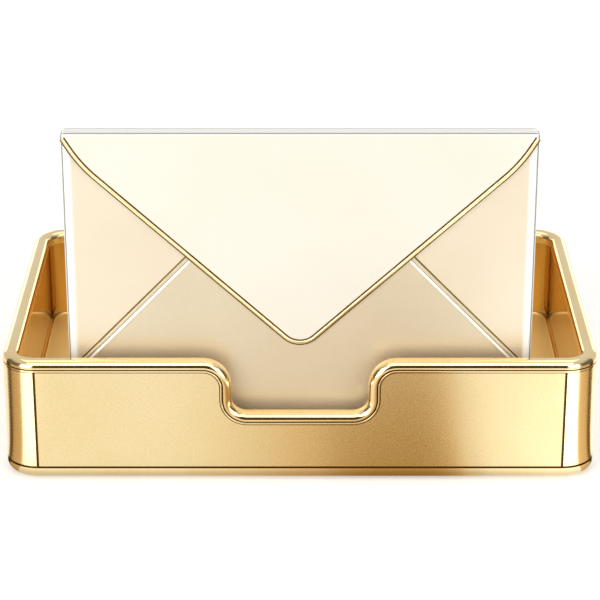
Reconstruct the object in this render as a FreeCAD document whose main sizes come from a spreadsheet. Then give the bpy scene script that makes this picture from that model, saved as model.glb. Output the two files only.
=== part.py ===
import FreeCAD, Part
import math
import os
from types import SimpleNamespace

import Sketcher

# Desk letter tray of hollow double-walled brass, with one thick envelope standing upright
# just behind its front wall. X runs left to right, -Y is the front, Z is up.
# The origin is the middle of the footprint, on the surface that the tray stands on.

doc = FreeCAD.newDocument("letter_tray")
sheet = doc.addObject("Spreadsheet::Sheet", "Sizes")

sizes = [
    ("tray_width", "295", "outside of the tray, left to right"),
    ("tray_depth", "182", "outside of the tray, front to back"),
    ("tray_height", "64.3", "underside of the base to the top of the rim"),
    ("wall_thickness", "8.4", "outer face to inner face of the hollow wall"),
    ("corner_radius", "17", "upright outer corners, in plan"),
    ("sheet_gauge", "1.2", "brass sheet of the outer shell and the inner pan"),
    ("panel_setback", "0.25", "outer shell behind the faces of the rim and the base rail"),
    ("line_width", "0.7", "fine shadow lines cut in the outer shell"),
    ("line_depth", "0.5", "depth of those lines"),
    ("floor_height", "15.3", "underside of the base to the top of the tray floor"),
    ("pan_bend_radius", "2", "inside bend between the tray floor and its walls"),
    ("pan_edge_break", "1.8", "outside of that bend, hidden in the hollow wall"),
    ("rim_height", "6", "height of the rim moulding"),
    ("rim_outer_round", "4.9", "outer top edge of the rim moulding"),
    ("rim_inner_round", "3.2", "inner top edge of the rim moulding"),
    ("joint_break", "0.4", "small chamfer along the foot of the rim moulding"),
    ("notch_width", "67.4", "clear width of the finger notch"),
    ("notch_depth", "28.2", "drop of the rim in the finger notch"),
    ("notch_top_radius", "14", "where the rim turns down into the notch"),
    ("notch_bottom_radius", "7.5", "where the rim levels out at the foot of the notch"),
    ("base_rail_height", "6.3", "upstanding edge of the base plate"),
    ("base_round", "5.4", "rounded lower edge of the base plate"),
    ("base_gauge", "2", "base plate inside its rail"),
    ("pad_width", "16", "square rubber foot pad"),
    ("pad_thickness", "2.2", "rubber foot pad, top to underside"),
    ("pad_proud", "1", "how far the pads lift the base off the table"),
    ("pad_edge_break", "0.8", "bevelled lower edges of a pad"),
    ("pad_clearance", "0.1", "gap between a pad and its seat, all round"),
    ("pad_inset", "30", "pad centre from the outer faces"),
    ("post_width", "9", "hexagonal post, across its flats"),
    ("post_inset", "52", "post centre from the outer faces"),
    ("screw_diameter", "3", "shank of a base screw"),
    ("screw_head_diameter", "5.5", "cheese head of a base screw"),
    ("screw_head_height", "1.3", "cheese head of a base screw"),
    ("screw_seat_depth", "0.8", "counterbore for the head in the base plate"),
    ("screw_reach", "8", "base screw under its head"),
    ("screw_bore_clearance", "0.05", "shank to post thread, on the radius"),
    ("screw_hole_clearance", "0.2", "shank to base plate, on the radius"),
    ("screw_head_clearance", "0.2", "head to counterbore, on the radius"),
    ("screw_drive_width", "1", "slot across the screw head"),
    ("screw_drive_depth", "0.8", "depth of that slot"),
    ("rest_width", "150", "letter rest, left to right"),
    ("rest_height", "42", "letter rest above the tray floor"),
    ("rest_gauge", "1.5", "sheet of the letter rest"),
    ("rest_foot", "18", "foot of the rest, front to back"),
    ("rest_bend_radius", "1.5", "inside bend of the rest"),
    ("rest_corner_radius", "12", "upper corners of the rest"),
    ("rest_gap", "0.4", "gap between the rest and the back of the envelope"),
    ("envelope_width", "229", "C5 envelope, long side"),
    ("envelope_height", "162", "C5 envelope, short side"),
    ("envelope_thickness", "8", "filled envelope, front face to back face"),
    ("envelope_setback", "13.7", "front of the tray to the front of the envelope"),
    ("envelope_stand_gap", "0.3", "tray floor to the underside of the envelope"),
    ("envelope_corner_radius", "2.8", "upper corners of the envelope"),
    ("paper_gauge", "0.8", "board of the envelope"),
    ("side_fold_radius", "2.4", "outside of the side folds"),
    ("bottom_fold_radius", "2.6", "outside of the bottom fold"),
    ("fold_leg", "1.5", "flat board past a fold, before the back panel starts"),
    ("side_flap_width", "84", "side fold to the point of a side flap"),
    ("side_flap_top", "150", "upper end of a side flap above the bottom edge"),
    ("side_flap_point", "85", "point of a side flap above the bottom edge"),
    ("side_flap_foot", "20", "lower end of a side flap above the bottom edge"),
    ("flap_point_radius", "6", "rounded points of the side flaps and the bottom flap"),
    ("seam_foot", "40.7", "where the diagonal seam meets the side fold, above the bottom edge"),
    ("bottom_flap_height", "118", "bottom flap above the bottom edge"),
    ("bottom_flap_top_width", "71.6", "top edge of the bottom flap"),
    ("seam_edge_break", "0.5", "worn front edge of the bottom flap"),
    ("flap_gauge", "1", "board of the closing flap"),
    ("flap_gap", "0.2", "closing flap to the flaps behind it"),
    ("flap_depth", "110", "top edge to the tip of the closing flap"),
    ("flap_tip_radius", "12", "tip of the closing flap"),
    ("flap_side_edge", "3.4", "short upright edge at the top corners of the flap"),
    ("flap_shoulder_inset", "8", "shoulder of the flap from the side edge"),
    ("flap_shoulder_drop", "16.6", "shoulder of the flap below the top edge"),
    ("flap_shoulder_radius", "70", "curve of the shoulder"),
    ("flap_crease_break", "0.6", "front top crease of the closing flap"),
    ("edging_width", "2.5", "gilt bead along the flap's edge"),
    ("edging_height", "0.9", "how far the arch of the bead stands off the flap"),
    ("letter_side_room", "9.5", "side of the envelope to the side of the letter"),
    ("letter_top_room", "8.7", "top of the pocket to the top of the letter"),
    ("letter_gap", "0.1", "letter to the board on each side"),
    ("letter_fold_radius", "1.5", "folded lower edge of the letter"),
    ("overrun", "1", "how far a cut runs past the material"),
]

for row, (name, value, note) in enumerate(sizes, 1):
    sheet.set(f"A{row}", name)
    sheet.set(f"B{row}", value)
    sheet.set(f"C{row}", note)
    sheet.setAlias(f"B{row}", name)
doc.recompute()


# A length known as a number, for drawing, and as an expression on the sheet, for binding.
class Length:
    def __init__(self, number, text):
        self.number = number
        self.text = text

    def __add__(self, other):
        return Length(self.number + other.number, f"({self.text} + {other.text})")

    def __sub__(self, other):
        return Length(self.number - other.number, f"({self.text} - {other.text})")

    def __neg__(self):
        return Length(-self.number, f"(-1 * {self.text})")

    def __mul__(self, share):
        return Length(self.number * share, f"({self.text} * {share})")

    def __truediv__(self, share):
        return Length(self.number / share, f"({self.text} / {share})")


size = SimpleNamespace()
for name, _, _ in sizes:
    setattr(size, name, Length(float(sheet.get(name)), f"Sizes.{name}"))
zero = Length(0.0, "0")

# Corner to centre of a hexagon, as a share of its width across the flats.
hexagon_share = math.sqrt(3) / 3

# Plan of the tray.
half_width = size.tray_width / 2
half_depth = size.tray_depth / 2
front = -half_depth

# Levels above the table.
base_low = size.pad_proud
base_top = base_low + size.base_rail_height
base_floor = base_low + size.base_gauge
screw_seat = base_low + size.screw_seat_depth
floor_top = base_low + size.floor_height
floor_low = floor_top - size.sheet_gauge
rim_top = base_low + size.tray_height
rim_low = rim_top - size.rim_height

# The finger notch, as the upper contour of the rim and as the lower one.
notch_half = size.notch_width / 2
notch_half_low = notch_half + size.rim_height
notch_foot = rim_top - size.notch_depth
notch_foot_low = rim_low - size.notch_depth

# The envelope's layers from front to back, and its levels.
half_envelope = size.envelope_width / 2
flap_front = front + size.envelope_setback
flap_back = flap_front + size.flap_gauge
bottom_flap_front = flap_back + size.flap_gap
side_flap_front = bottom_flap_front + size.paper_gauge
side_flap_back = side_flap_front + size.paper_gauge
envelope_back_face = flap_front + size.envelope_thickness
back_panel_front = envelope_back_face - size.paper_gauge
envelope_low = floor_top + size.envelope_stand_gap
envelope_top = envelope_low + size.envelope_height
pocket_top = envelope_top - size.flap_gauge - size.flap_gap
panel_low = envelope_low + size.bottom_fold_radius + size.fold_leg
fold_line = half_envelope - size.side_fold_radius - size.fold_leg

# The letter rest stands just behind the envelope, soldered to the tray floor.
rest_front = envelope_back_face + size.rest_gap


def bind(item, prop, length):
    item.setExpression(prop, length.text)


def point(x, y, z):
    return FreeCAD.Vector(x.number, y.number, z.number)


def new_body(label):
    body = doc.addObject("PartDesign::Body", label)
    body.Label = label
    return body


def new_sketch(body, role, name, offset=zero):
    plane = next(item for item in body.Origin.OriginFeatures if item.Role == role)
    sketch = body.newObject("Sketcher::SketchObject", name)
    sketch.AttachmentSupport = (plane, [""])
    sketch.MapMode = "FlatFace"
    bind(sketch, "AttachmentOffset.Base.z", offset)
    doc.recompute()
    return sketch


# Ties one point of a sketch to its distance from the sketch's origin, along X or Y.
def fix_distance(sketch, kind, geometry, end, length):
    index = sketch.addConstraint(Sketcher.Constraint(kind, geometry, end, length.number))
    bind(sketch, f"Constraints[{index}]", length)


def fix_point(sketch, geometry, end, x, y):
    fix_distance(sketch, "DistanceX", geometry, end, x)
    fix_distance(sketch, "DistanceY", geometry, end, y)


def fix_radius(sketch, arc, radius):
    index = sketch.addConstraint(Sketcher.Constraint("Radius", arc, radius.number))
    bind(sketch, f"Constraints[{index}]", radius)


def arc_between(centre, radius, start, sweep_to, clockwise):
    first = math.atan2(start.y - centre.y, start.x - centre.x)
    last = math.atan2(sweep_to.y - centre.y, sweep_to.x - centre.x)
    if clockwise:
        first, last = last, first
    circle = Part.Circle(centre, FreeCAD.Vector(0, 0, 1), radius)
    return Part.ArcOfCircle(circle, first, last)


# Draws a closed outline of straight runs, given by its corners (x, y) or (x, y, radius).
def draw_outline(sketch, corners):
    count = len(corners)
    spots = [FreeCAD.Vector(corner[0].number, corner[1].number, 0) for corner in corners]
    leave = []
    enter = []
    for number, corner in enumerate(corners):
        here = spots[number]
        back = (spots[number - 1] - here).normalize()
        ahead = (spots[(number + 1) % count] - here).normalize()
        reach = 0.0
        if len(corner) == 3:
            reach = corner[2].number / math.tan(back.getAngle(ahead) / 2)
        enter.append(here + back * reach)
        leave.append(here + ahead * reach)
    lines = []
    for number in range(count):
        segment = Part.LineSegment(leave[number], enter[(number + 1) % count])
        lines.append(sketch.addGeometry(segment, False))
    for number, corner in enumerate(corners):
        before = lines[number - 1]
        after = lines[number]
        if len(corner) == 2:
            sketch.addConstraint(Sketcher.Constraint("Coincident", before, 2, after, 1))
            fix_point(sketch, after, 1, corner[0], corner[1])
            continue
        draw_corner(sketch, corner, spots[number], enter[number], leave[number], before, after)


def draw_corner(sketch, corner, spot, enter, leave, before, after):
    middle = (enter + leave) / 2 - spot
    distance = math.hypot(corner[2].number, (enter - spot).Length)
    centre = spot + middle.normalize() * distance
    turn = (spot - enter).cross(leave - spot).z
    clockwise = turn < 0
    arc = sketch.addGeometry(arc_between(centre, corner[2].number, enter, leave, clockwise), False)
    first_end = 2 if clockwise else 1
    last_end = 1 if clockwise else 2
    sketch.addConstraint(Sketcher.Constraint("Tangent", before, 2, arc, first_end))
    sketch.addConstraint(Sketcher.Constraint("Tangent", arc, last_end, after, 1))
    fix_radius(sketch, arc, corner[2])
    mark = sketch.addGeometry(Part.Point(spot), True)
    fix_point(sketch, mark, 1, corner[0], corner[1])
    sketch.addConstraint(Sketcher.Constraint("PointOnObject", mark, 1, before))
    sketch.addConstraint(Sketcher.Constraint("PointOnObject", mark, 1, after))


def draw_rectangle(sketch, left, right, low, high):
    draw_outline(sketch, [(left, low), (right, low), (right, high), (left, high)])


def draw_square(sketch, x, y, half):
    draw_rectangle(sketch, x - half, x + half, y - half, y + half)


# Rounded rectangle in plan, set in from the tray's outer faces.
def draw_plan(sketch, inset):
    x = half_width - inset
    y = half_depth - inset
    radius = size.corner_radius - inset
    draw_outline(sketch, [(-x, -y, radius), (x, -y, radius), (x, y, radius), (-x, y, radius)])


def draw_circles(sketch, places, radius):
    for x, y in places:
        centre = FreeCAD.Vector(x.number, y.number, 0)
        circle = sketch.addGeometry(Part.Circle(centre, FreeCAD.Vector(0, 0, 1), radius.number), False)
        fix_point(sketch, circle, 3, x, y)
        fix_radius(sketch, circle, radius)


def pad(body, sketch, name, length):
    feature = body.newObject("PartDesign::Pad", name)
    feature.Profile = sketch
    bind(feature, "Length", length)
    body.Tip = feature
    doc.recompute()
    return feature


# Cuts away from the sketch, against its normal unless upward is set, and checks that it did.
def pocket(body, sketch, name, length, upward=False):
    before = body.Shape.Volume
    feature = body.newObject("PartDesign::Pocket", name)
    feature.Profile = sketch
    feature.Reversed = upward
    bind(feature, "Length", length)
    body.Tip = feature
    doc.recompute()
    if feature.Shape.Volume >= before:
        raise RuntimeError(f"{name} cuts nothing")
    return feature


# Names the edges of the body that pass through the given points.
def edges_through(body, places):
    names = []
    for place in places:
        vertex = Part.Vertex(place)
        gaps = [edge.distToShape(vertex)[0] for edge in body.Shape.Edges]
        nearest = gaps.index(min(gaps))
        if f"Edge{nearest + 1}" not in names:
            names.append(f"Edge{nearest + 1}")
    return names


def fillet(body, name, radius, places):
    base = (body.Tip, edges_through(body, places))
    feature = body.newObject("PartDesign::Fillet", name)
    feature.Base = base
    bind(feature, "Radius", radius)
    body.Tip = feature
    doc.recompute()
    return feature


def chamfer(body, name, width, places):
    base = (body.Tip, edges_through(body, places))
    feature = body.newObject("PartDesign::Chamfer", name)
    feature.Base = base
    bind(feature, "Size", width)
    body.Tip = feature
    doc.recompute()
    return feature


# Revolves a half section, given as (radius, height), about an upright axis at x, y.
def turn(body, name, x, y, section):
    sketch = new_sketch(body, "XZ_Plane", f"{name}Section", -y)
    bind(sketch, "AttachmentOffset.Base.x", x)
    draw_outline(sketch, section)
    feature = body.newObject("PartDesign::Revolution", name)
    feature.Profile = sketch
    feature.ReferenceAxis = (sketch, ["V_Axis"])
    body.Tip = feature
    doc.recompute()
    return feature


# Mirrors a feature across the tray's middle planes, once for each plane that is named.
def mirror(body, name, original, roles):
    pattern = body.newObject("PartDesign::MultiTransform", name)
    pattern.Originals = [original]
    steps = []
    for role in roles:
        step = body.newObject("PartDesign::Mirrored", f"{name}{role[:2]}")
        plane = next(item for item in body.Origin.OriginFeatures if item.Role == role)
        step.MirrorPlane = (plane, [""])
        steps.append(step)
    pattern.Transformations = steps
    body.Tip = pattern
    doc.recompute()
    return pattern


# The four places that lie one inset in from the tray's outer faces.
def four_places(inset):
    x = half_width - inset
    y = half_depth - inset
    return [(-x, -y), (x, -y), (-x, y), (x, y)]


# The notch as the sheet walls have it: they stop at the lower contour of the rim moulding.
def cut_notch(body, sheet_middle):
    sketch = new_sketch(body, "XZ_Plane", "NotchSketch", half_depth + size.overrun)
    draw_rectangle(sketch, -notch_half_low, notch_half_low, notch_foot_low, rim_low + size.overrun)
    pocket(body, sketch, "Notch", size.wall_thickness + size.overrun * 2)
    upper = [point(x, sheet_middle, rim_low) for x in (-notch_half_low, notch_half_low)]
    fillet(body, "NotchUpperCorners", size.notch_top_radius - size.rim_height, upper)
    lower = [point(x, sheet_middle, notch_foot_low) for x in (-notch_half_low, notch_half_low)]
    fillet(body, "NotchLowerCorners", size.notch_bottom_radius + size.rim_height, lower)


# Outer wall: one band of sheet bent round four corners, standing on the base plate's rail
# and set back a little, so that the rim and the rail stand proud of it. A fine shadow line
# runs all round its foot, and an upright one marks each end of the flat front.
def make_outer_shell():
    body = new_body("outer_shell")
    sketch = new_sketch(body, "XY_Plane", "ShellPlan", base_top)
    draw_plan(sketch, size.panel_setback)
    draw_plan(sketch, size.panel_setback + size.sheet_gauge)
    pad(body, sketch, "ShellBand", rim_low - base_top)
    sketch = new_sketch(body, "XY_Plane", "FootLinePlan", base_top)
    draw_plan(sketch, size.panel_setback - size.overrun)
    draw_plan(sketch, size.panel_setback + size.line_depth)
    pocket(body, sketch, "FootLine", size.line_width, upward=True)
    sketch = new_sketch(body, "XZ_Plane", "EndLineSketch", half_depth - size.panel_setback)
    flat_end = half_width - size.corner_radius
    for x in (-flat_end, flat_end):
        low, high = x - size.line_width / 2, x + size.line_width / 2
        draw_rectangle(sketch, low, high, base_top - size.overrun, rim_low + size.overrun)
    pocket(body, sketch, "EndLines", size.line_depth)
    cut_notch(body, front + size.panel_setback + size.sheet_gauge / 2)
    return body


# Inner wall and floor: one deep-drawn pan with a small bend all round its floor.
def make_inner_pan():
    body = new_body("inner_pan")
    outer_inset = size.wall_thickness - size.sheet_gauge
    sketch = new_sketch(body, "XY_Plane", "PanPlan", floor_low)
    draw_plan(sketch, outer_inset)
    pad(body, sketch, "PanBlank", rim_low - floor_low)
    sketch = new_sketch(body, "XY_Plane", "PanInsidePlan", rim_low)
    draw_plan(sketch, size.wall_thickness)
    pocket(body, sketch, "PanInside", rim_low - floor_top)
    inner_back = half_depth - size.wall_thickness
    fillet(body, "PanInnerBend", size.pan_bend_radius, [point(zero, inner_back, floor_top)])
    outer_back = half_depth - outer_inset
    chamfer(body, "PanOuterBend", size.pan_edge_break, [point(zero, outer_back, floor_low)])
    cut_notch(body, front + size.wall_thickness - size.sheet_gauge / 2)
    return body


# Rim moulding: a solid bar round the whole tray that dips through the finger notch in two
# S-shaped sides. The straight bar and the dip meet, then their corners and top edges are
# rounded in one run, so the round follows the notch.
def make_rim_cap():
    body = new_body("rim_cap")
    sketch = new_sketch(body, "XY_Plane", "RimPlan", rim_low)
    draw_plan(sketch, zero)
    draw_plan(sketch, size.wall_thickness)
    pad(body, sketch, "RimBar", size.rim_height)
    reach = notch_half + size.notch_top_radius + size.rim_height
    sketch = new_sketch(body, "XZ_Plane", "RimGapSketch", half_depth + size.overrun)
    draw_rectangle(sketch, -reach, reach, rim_low - size.overrun, rim_top + size.overrun)
    pocket(body, sketch, "RimGap", size.wall_thickness + size.overrun * 2)
    sketch = new_sketch(body, "XZ_Plane", "RimDipSketch", half_depth - size.wall_thickness)
    upper = size.notch_top_radius
    lower = size.notch_bottom_radius
    upper_inside = size.notch_top_radius - size.rim_height
    lower_outside = size.notch_bottom_radius + size.rim_height
    draw_outline(sketch, [
        (-reach, rim_low),
        (-notch_half_low, rim_low, upper_inside),
        (-notch_half_low, notch_foot_low, lower_outside),
        (notch_half_low, notch_foot_low, lower_outside),
        (notch_half_low, rim_low, upper_inside),
        (reach, rim_low),
        (reach, rim_top),
        (notch_half, rim_top, upper),
        (notch_half, notch_foot, lower),
        (-notch_half, notch_foot, lower),
        (-notch_half, rim_top, upper),
        (-reach, rim_top),
    ])
    pad(body, sketch, "RimDip", size.wall_thickness)
    inner_back = half_depth - size.wall_thickness
    fillet(body, "RimOuterRound", size.rim_outer_round, [point(zero, half_depth, rim_top)])
    fillet(body, "RimInnerRound", size.rim_inner_round, [point(zero, inner_back, rim_top)])
    chamfer(body, "RimJointLine", size.joint_break, [point(zero, half_depth, rim_low)])
    return body


# Base plate: closes the underside, with an upstanding rail that carries the outer shell
# and a rounded lower edge that shows as a bead round the foot of the tray.
def make_base_plate():
    body = new_body("base_plate")
    sketch = new_sketch(body, "XY_Plane", "BasePlan", base_low)
    draw_plan(sketch, zero)
    pad(body, sketch, "BaseBlank", size.base_rail_height)
    sketch = new_sketch(body, "XY_Plane", "BaseInsidePlan", base_top)
    draw_plan(sketch, size.wall_thickness)
    pocket(body, sketch, "BaseInside", size.base_rail_height - size.base_gauge)
    fillet(body, "BaseBead", size.base_round, [point(zero, half_depth, base_low)])
    sketch = new_sketch(body, "XY_Plane", "PadSeatSketch", base_low)
    for x, y in four_places(size.pad_inset):
        draw_square(sketch, x, y, size.pad_width / 2 + size.pad_clearance)
    pocket(body, sketch, "PadSeats", size.pad_thickness - size.pad_proud, upward=True)
    places = four_places(size.post_inset)
    sketch = new_sketch(body, "XY_Plane", "ScrewHoleSketch", base_low)
    draw_circles(sketch, places, size.screw_diameter / 2 + size.screw_hole_clearance)
    pocket(body, sketch, "ScrewHoles", size.base_gauge + size.overrun, upward=True)
    sketch = new_sketch(body, "XY_Plane", "ScrewSeatSketch", base_low)
    draw_circles(sketch, places, size.screw_head_diameter / 2 + size.screw_head_clearance)
    pocket(body, sketch, "ScrewSeats", size.screw_seat_depth, upward=True)
    return body


# Square rubber foot pads, one in each seat of the base plate.
def make_foot_pad(label, x, y):
    body = new_body(label)
    half = size.pad_width / 2
    sketch = new_sketch(body, "XY_Plane", "PadPlan")
    draw_square(sketch, x, y, half)
    pad(body, sketch, "PadBlock", size.pad_thickness)
    sides = [point(x - half, y, zero), point(x + half, y, zero)]
    ends = [point(x, y - half, zero), point(x, y + half, zero)]
    chamfer(body, "PadBevel", size.pad_edge_break, sides + ends)
    return body


# Hexagonal threaded posts that are soldered under the pan and take the base screws.
def make_screw_post(label, x, y):
    body = new_body(label)
    half = size.post_width / 2
    corner = size.post_width * hexagon_share
    sketch = new_sketch(body, "XY_Plane", "PostPlan", base_floor)
    draw_outline(sketch, [
        (x - corner, y),
        (x - corner / 2, y - half),
        (x + corner / 2, y - half),
        (x + corner, y),
        (x + corner / 2, y + half),
        (x - corner / 2, y + half),
    ])
    draw_circles(sketch, [(x, y)], size.screw_diameter / 2 + size.screw_bore_clearance)
    pad(body, sketch, "PostTube", floor_low - base_floor)
    return body


# Slotted cheese-head screws that hold the base plate up against the posts.
def make_base_screws():
    body = new_body("base_screws")
    places = four_places(size.post_inset)
    shank = size.screw_diameter / 2
    head = size.screw_head_diameter / 2
    head_low = screw_seat - size.screw_head_height
    screw = turn(body, "Screw", *places[-1], [
        (zero, head_low),
        (head, head_low),
        (head, screw_seat),
        (shank, screw_seat),
        (shank, screw_seat + size.screw_reach),
        (zero, screw_seat + size.screw_reach),
    ])
    mirror(body, "Screws", screw, ["YZ_Plane", "XZ_Plane"])
    sketch = new_sketch(body, "XY_Plane", "DriveSlots", head_low)
    half_slot = size.screw_drive_width / 2
    for x, y in places:
        draw_rectangle(sketch, x - head, x + head, y - half_slot, y + half_slot)
    pocket(body, sketch, "Drives", size.screw_drive_depth, upward=True)
    return body


# Low bracket behind the envelope, bent from sheet: it keeps the envelope standing upright.
def make_letter_rest():
    body = new_body("letter_rest")
    half_rest = size.rest_width / 2
    rest_top = floor_top + size.rest_height
    rest_back = rest_front + size.rest_gauge
    foot_back = rest_front + size.rest_foot
    foot_top = floor_top + size.rest_gauge
    sketch = new_sketch(body, "YZ_Plane", "RestProfile", -half_rest)
    draw_outline(sketch, [
        (rest_front, floor_top, size.rest_bend_radius + size.rest_gauge),
        (foot_back, floor_top),
        (foot_back, foot_top),
        (rest_back, foot_top, size.rest_bend_radius),
        (rest_back, rest_top),
        (rest_front, rest_top),
    ])
    pad(body, sketch, "RestSheet", size.rest_width)
    middle = rest_front + size.rest_gauge / 2
    corners = [point(x, middle, rest_top) for x in (-half_rest, half_rest)]
    fillet(body, "RestCorners", size.rest_corner_radius, corners)
    return body


# Back of the envelope: the flat panel between its folds.
def make_back_panel():
    body = new_body("envelope_back")
    sketch = new_sketch(body, "XZ_Plane", "BackOutline", -envelope_back_face)
    draw_rectangle(sketch, -fold_line, fold_line, panel_low, pocket_top)
    pad(body, sketch, "BackSheet", size.paper_gauge)
    return body


# Side flap: folded round from the back panel, then pointed in towards the middle.
def make_side_flap(label, side):
    body = new_body(label)
    edge = half_envelope * side
    crease = fold_line * side
    inside = (half_envelope - size.paper_gauge) * side
    inner_fold = size.side_fold_radius - size.paper_gauge
    leaf_x = (fold_line - size.side_flap_width) * side
    leaf_z = envelope_low + size.side_flap_point
    sketch = new_sketch(body, "XY_Plane", "SideFoldProfile", panel_low)
    draw_outline(sketch, [
        (crease, envelope_back_face),
        (edge, envelope_back_face, size.side_fold_radius),
        (edge, side_flap_front, size.side_fold_radius),
        (crease, side_flap_front),
        (crease, side_flap_back),
        (inside, side_flap_back, inner_fold),
        (inside, back_panel_front, inner_fold),
        (crease, back_panel_front),
    ])
    pad(body, sketch, "SideFold", pocket_top - panel_low)
    sketch = new_sketch(body, "XZ_Plane", "SideFlapOutline", -side_flap_back)
    draw_outline(sketch, [
        (crease, envelope_low + size.side_flap_foot),
        (leaf_x, leaf_z, size.flap_point_radius),
        (crease, envelope_low + size.side_flap_top),
    ])
    pad(body, sketch, "SideLeaf", size.paper_gauge)
    return body


# Bottom flap: folded up from the back panel, over the two side flaps. Its slanting edges
# are the diagonal seams on the front of the envelope.
def make_bottom_flap():
    body = new_body("bottom_flap")
    inner_fold = size.bottom_fold_radius - size.paper_gauge
    inside_low = envelope_low + size.paper_gauge
    leaf_back = bottom_flap_front + size.paper_gauge
    sketch = new_sketch(body, "YZ_Plane", "BottomFoldProfile", -fold_line)
    draw_outline(sketch, [
        (envelope_back_face, panel_low),
        (back_panel_front, panel_low),
        (back_panel_front, inside_low, inner_fold),
        (leaf_back, inside_low, inner_fold),
        (leaf_back, panel_low),
        (bottom_flap_front, panel_low),
        (bottom_flap_front, envelope_low, size.bottom_fold_radius),
        (envelope_back_face, envelope_low, size.bottom_fold_radius),
    ])
    pad(body, sketch, "BottomFold", fold_line * 2)
    half_top = size.bottom_flap_top_width / 2
    leaf_top = envelope_low + size.bottom_flap_height
    seam_low = envelope_low + size.seam_foot
    sketch = new_sketch(body, "XZ_Plane", "BottomFlapOutline", -leaf_back)
    draw_outline(sketch, [
        (-fold_line, panel_low),
        (fold_line, panel_low),
        (fold_line, seam_low),
        (half_top, leaf_top, size.flap_point_radius),
        (-half_top, leaf_top, size.flap_point_radius),
        (-fold_line, seam_low),
    ])
    pad(body, sketch, "BottomLeaf", size.paper_gauge)
    seam_x = (fold_line + half_top) / 2
    seam_z = (seam_low + leaf_top) / 2
    seams = [point(x, bottom_flap_front, seam_z) for x in (-seam_x, seam_x)]
    chamfer(body, "SeamEdges", size.seam_edge_break, seams)
    return body


# Half of the closing flap's free edge, from the rounded tip up to the right-hand side edge.
# Returns the ids of its first run, the tip arc, and its last, which meets the side edge.
def draw_flap_edge(sketch):
    radius = size.flap_tip_radius
    tip_centre = envelope_top - size.flap_depth + radius
    shoulder_x = half_envelope - size.flap_shoulder_inset
    shoulder_z = envelope_top - size.flap_shoulder_drop
    side_z = envelope_top - size.flap_side_edge
    centre = FreeCAD.Vector(0, tip_centre.number, 0)
    shoulder = FreeCAD.Vector(shoulder_x.number, shoulder_z.number, 0)
    end = FreeCAD.Vector(half_envelope.number, side_z.number, 0)
    rise = math.atan2(shoulder.y - centre.y, shoulder.x)
    slope = rise + math.asin(radius.number / (shoulder - centre).Length)
    along = FreeCAD.Vector(math.cos(slope), math.sin(slope), 0)
    touch = centre + FreeCAD.Vector(along.y, -along.x, 0) * radius.number
    upward = (end - shoulder).normalize()
    reach = size.flap_shoulder_radius.number / math.tan((-along).getAngle(upward) / 2)
    enter = shoulder - along * reach
    leave = shoulder + upward * reach
    tip = centre - FreeCAD.Vector(0, radius.number, 0)
    tip_arc = sketch.addGeometry(arc_between(centre, radius.number, tip, touch, False), False)
    straight = sketch.addGeometry(Part.LineSegment(touch, enter), False)
    side_run = sketch.addGeometry(Part.LineSegment(leave, end), False)
    corner = (shoulder_x, shoulder_z, size.flap_shoulder_radius)
    fix_point(sketch, tip_arc, 3, zero, tip_centre)
    fix_radius(sketch, tip_arc, radius)
    fix_distance(sketch, "DistanceX", tip_arc, 1, zero)
    sketch.addConstraint(Sketcher.Constraint("Tangent", tip_arc, 2, straight, 1))
    draw_corner(sketch, corner, shoulder, enter, leave, straight, side_run)
    fix_point(sketch, side_run, 2, half_envelope, side_z)
    return tip_arc, side_run


# Closing flap: a broad pointed leaf down the front and a narrow strip over the top of the
# envelope. It is creased, and turns, along the strip's back edge.
def make_closing_flap():
    body = new_body("closing_flap")
    sketch = new_sketch(body, "XZ_Plane", "FlapHalfOutline", -flap_back)
    tip_arc, side_run = draw_flap_edge(sketch)
    tip = sketch.Geometry[tip_arc].StartPoint
    end = sketch.Geometry[side_run].EndPoint
    top_corner = FreeCAD.Vector(end.x, envelope_top.number, 0)
    top_middle = FreeCAD.Vector(0, envelope_top.number, 0)
    edge = sketch.addGeometry(Part.LineSegment(end, top_corner), False)
    top = sketch.addGeometry(Part.LineSegment(top_corner, top_middle), False)
    middle = sketch.addGeometry(Part.LineSegment(top_middle, tip), False)
    sketch.addConstraint(Sketcher.Constraint("Coincident", side_run, 2, edge, 1))
    sketch.addConstraint(Sketcher.Constraint("Coincident", edge, 2, top, 1))
    sketch.addConstraint(Sketcher.Constraint("Coincident", top, 2, middle, 1))
    sketch.addConstraint(Sketcher.Constraint("Coincident", middle, 2, tip_arc, 1))
    fix_point(sketch, top, 1, half_envelope, envelope_top)
    fix_point(sketch, middle, 1, zero, envelope_top)
    leaf = pad(body, sketch, "FlapHalfLeaf", size.flap_gauge)
    mirror(body, "FlapLeaf", leaf, ["YZ_Plane"])
    sketch = new_sketch(body, "XY_Plane", "FlapTopPlan", envelope_top - size.flap_gauge)
    draw_rectangle(sketch, -half_envelope, half_envelope, flap_front, envelope_back_face)
    pad(body, sketch, "FlapTopStrip", size.flap_gauge)
    middle_y = (flap_front + envelope_back_face) / 2
    corners = [point(x, middle_y, envelope_top) for x in (-half_envelope, half_envelope)]
    fillet(body, "FlapTopCorners", size.envelope_corner_radius, corners)
    chamfer(body, "FlapCrease", size.flap_crease_break, [point(zero, flap_front, envelope_top)])
    return body


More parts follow.
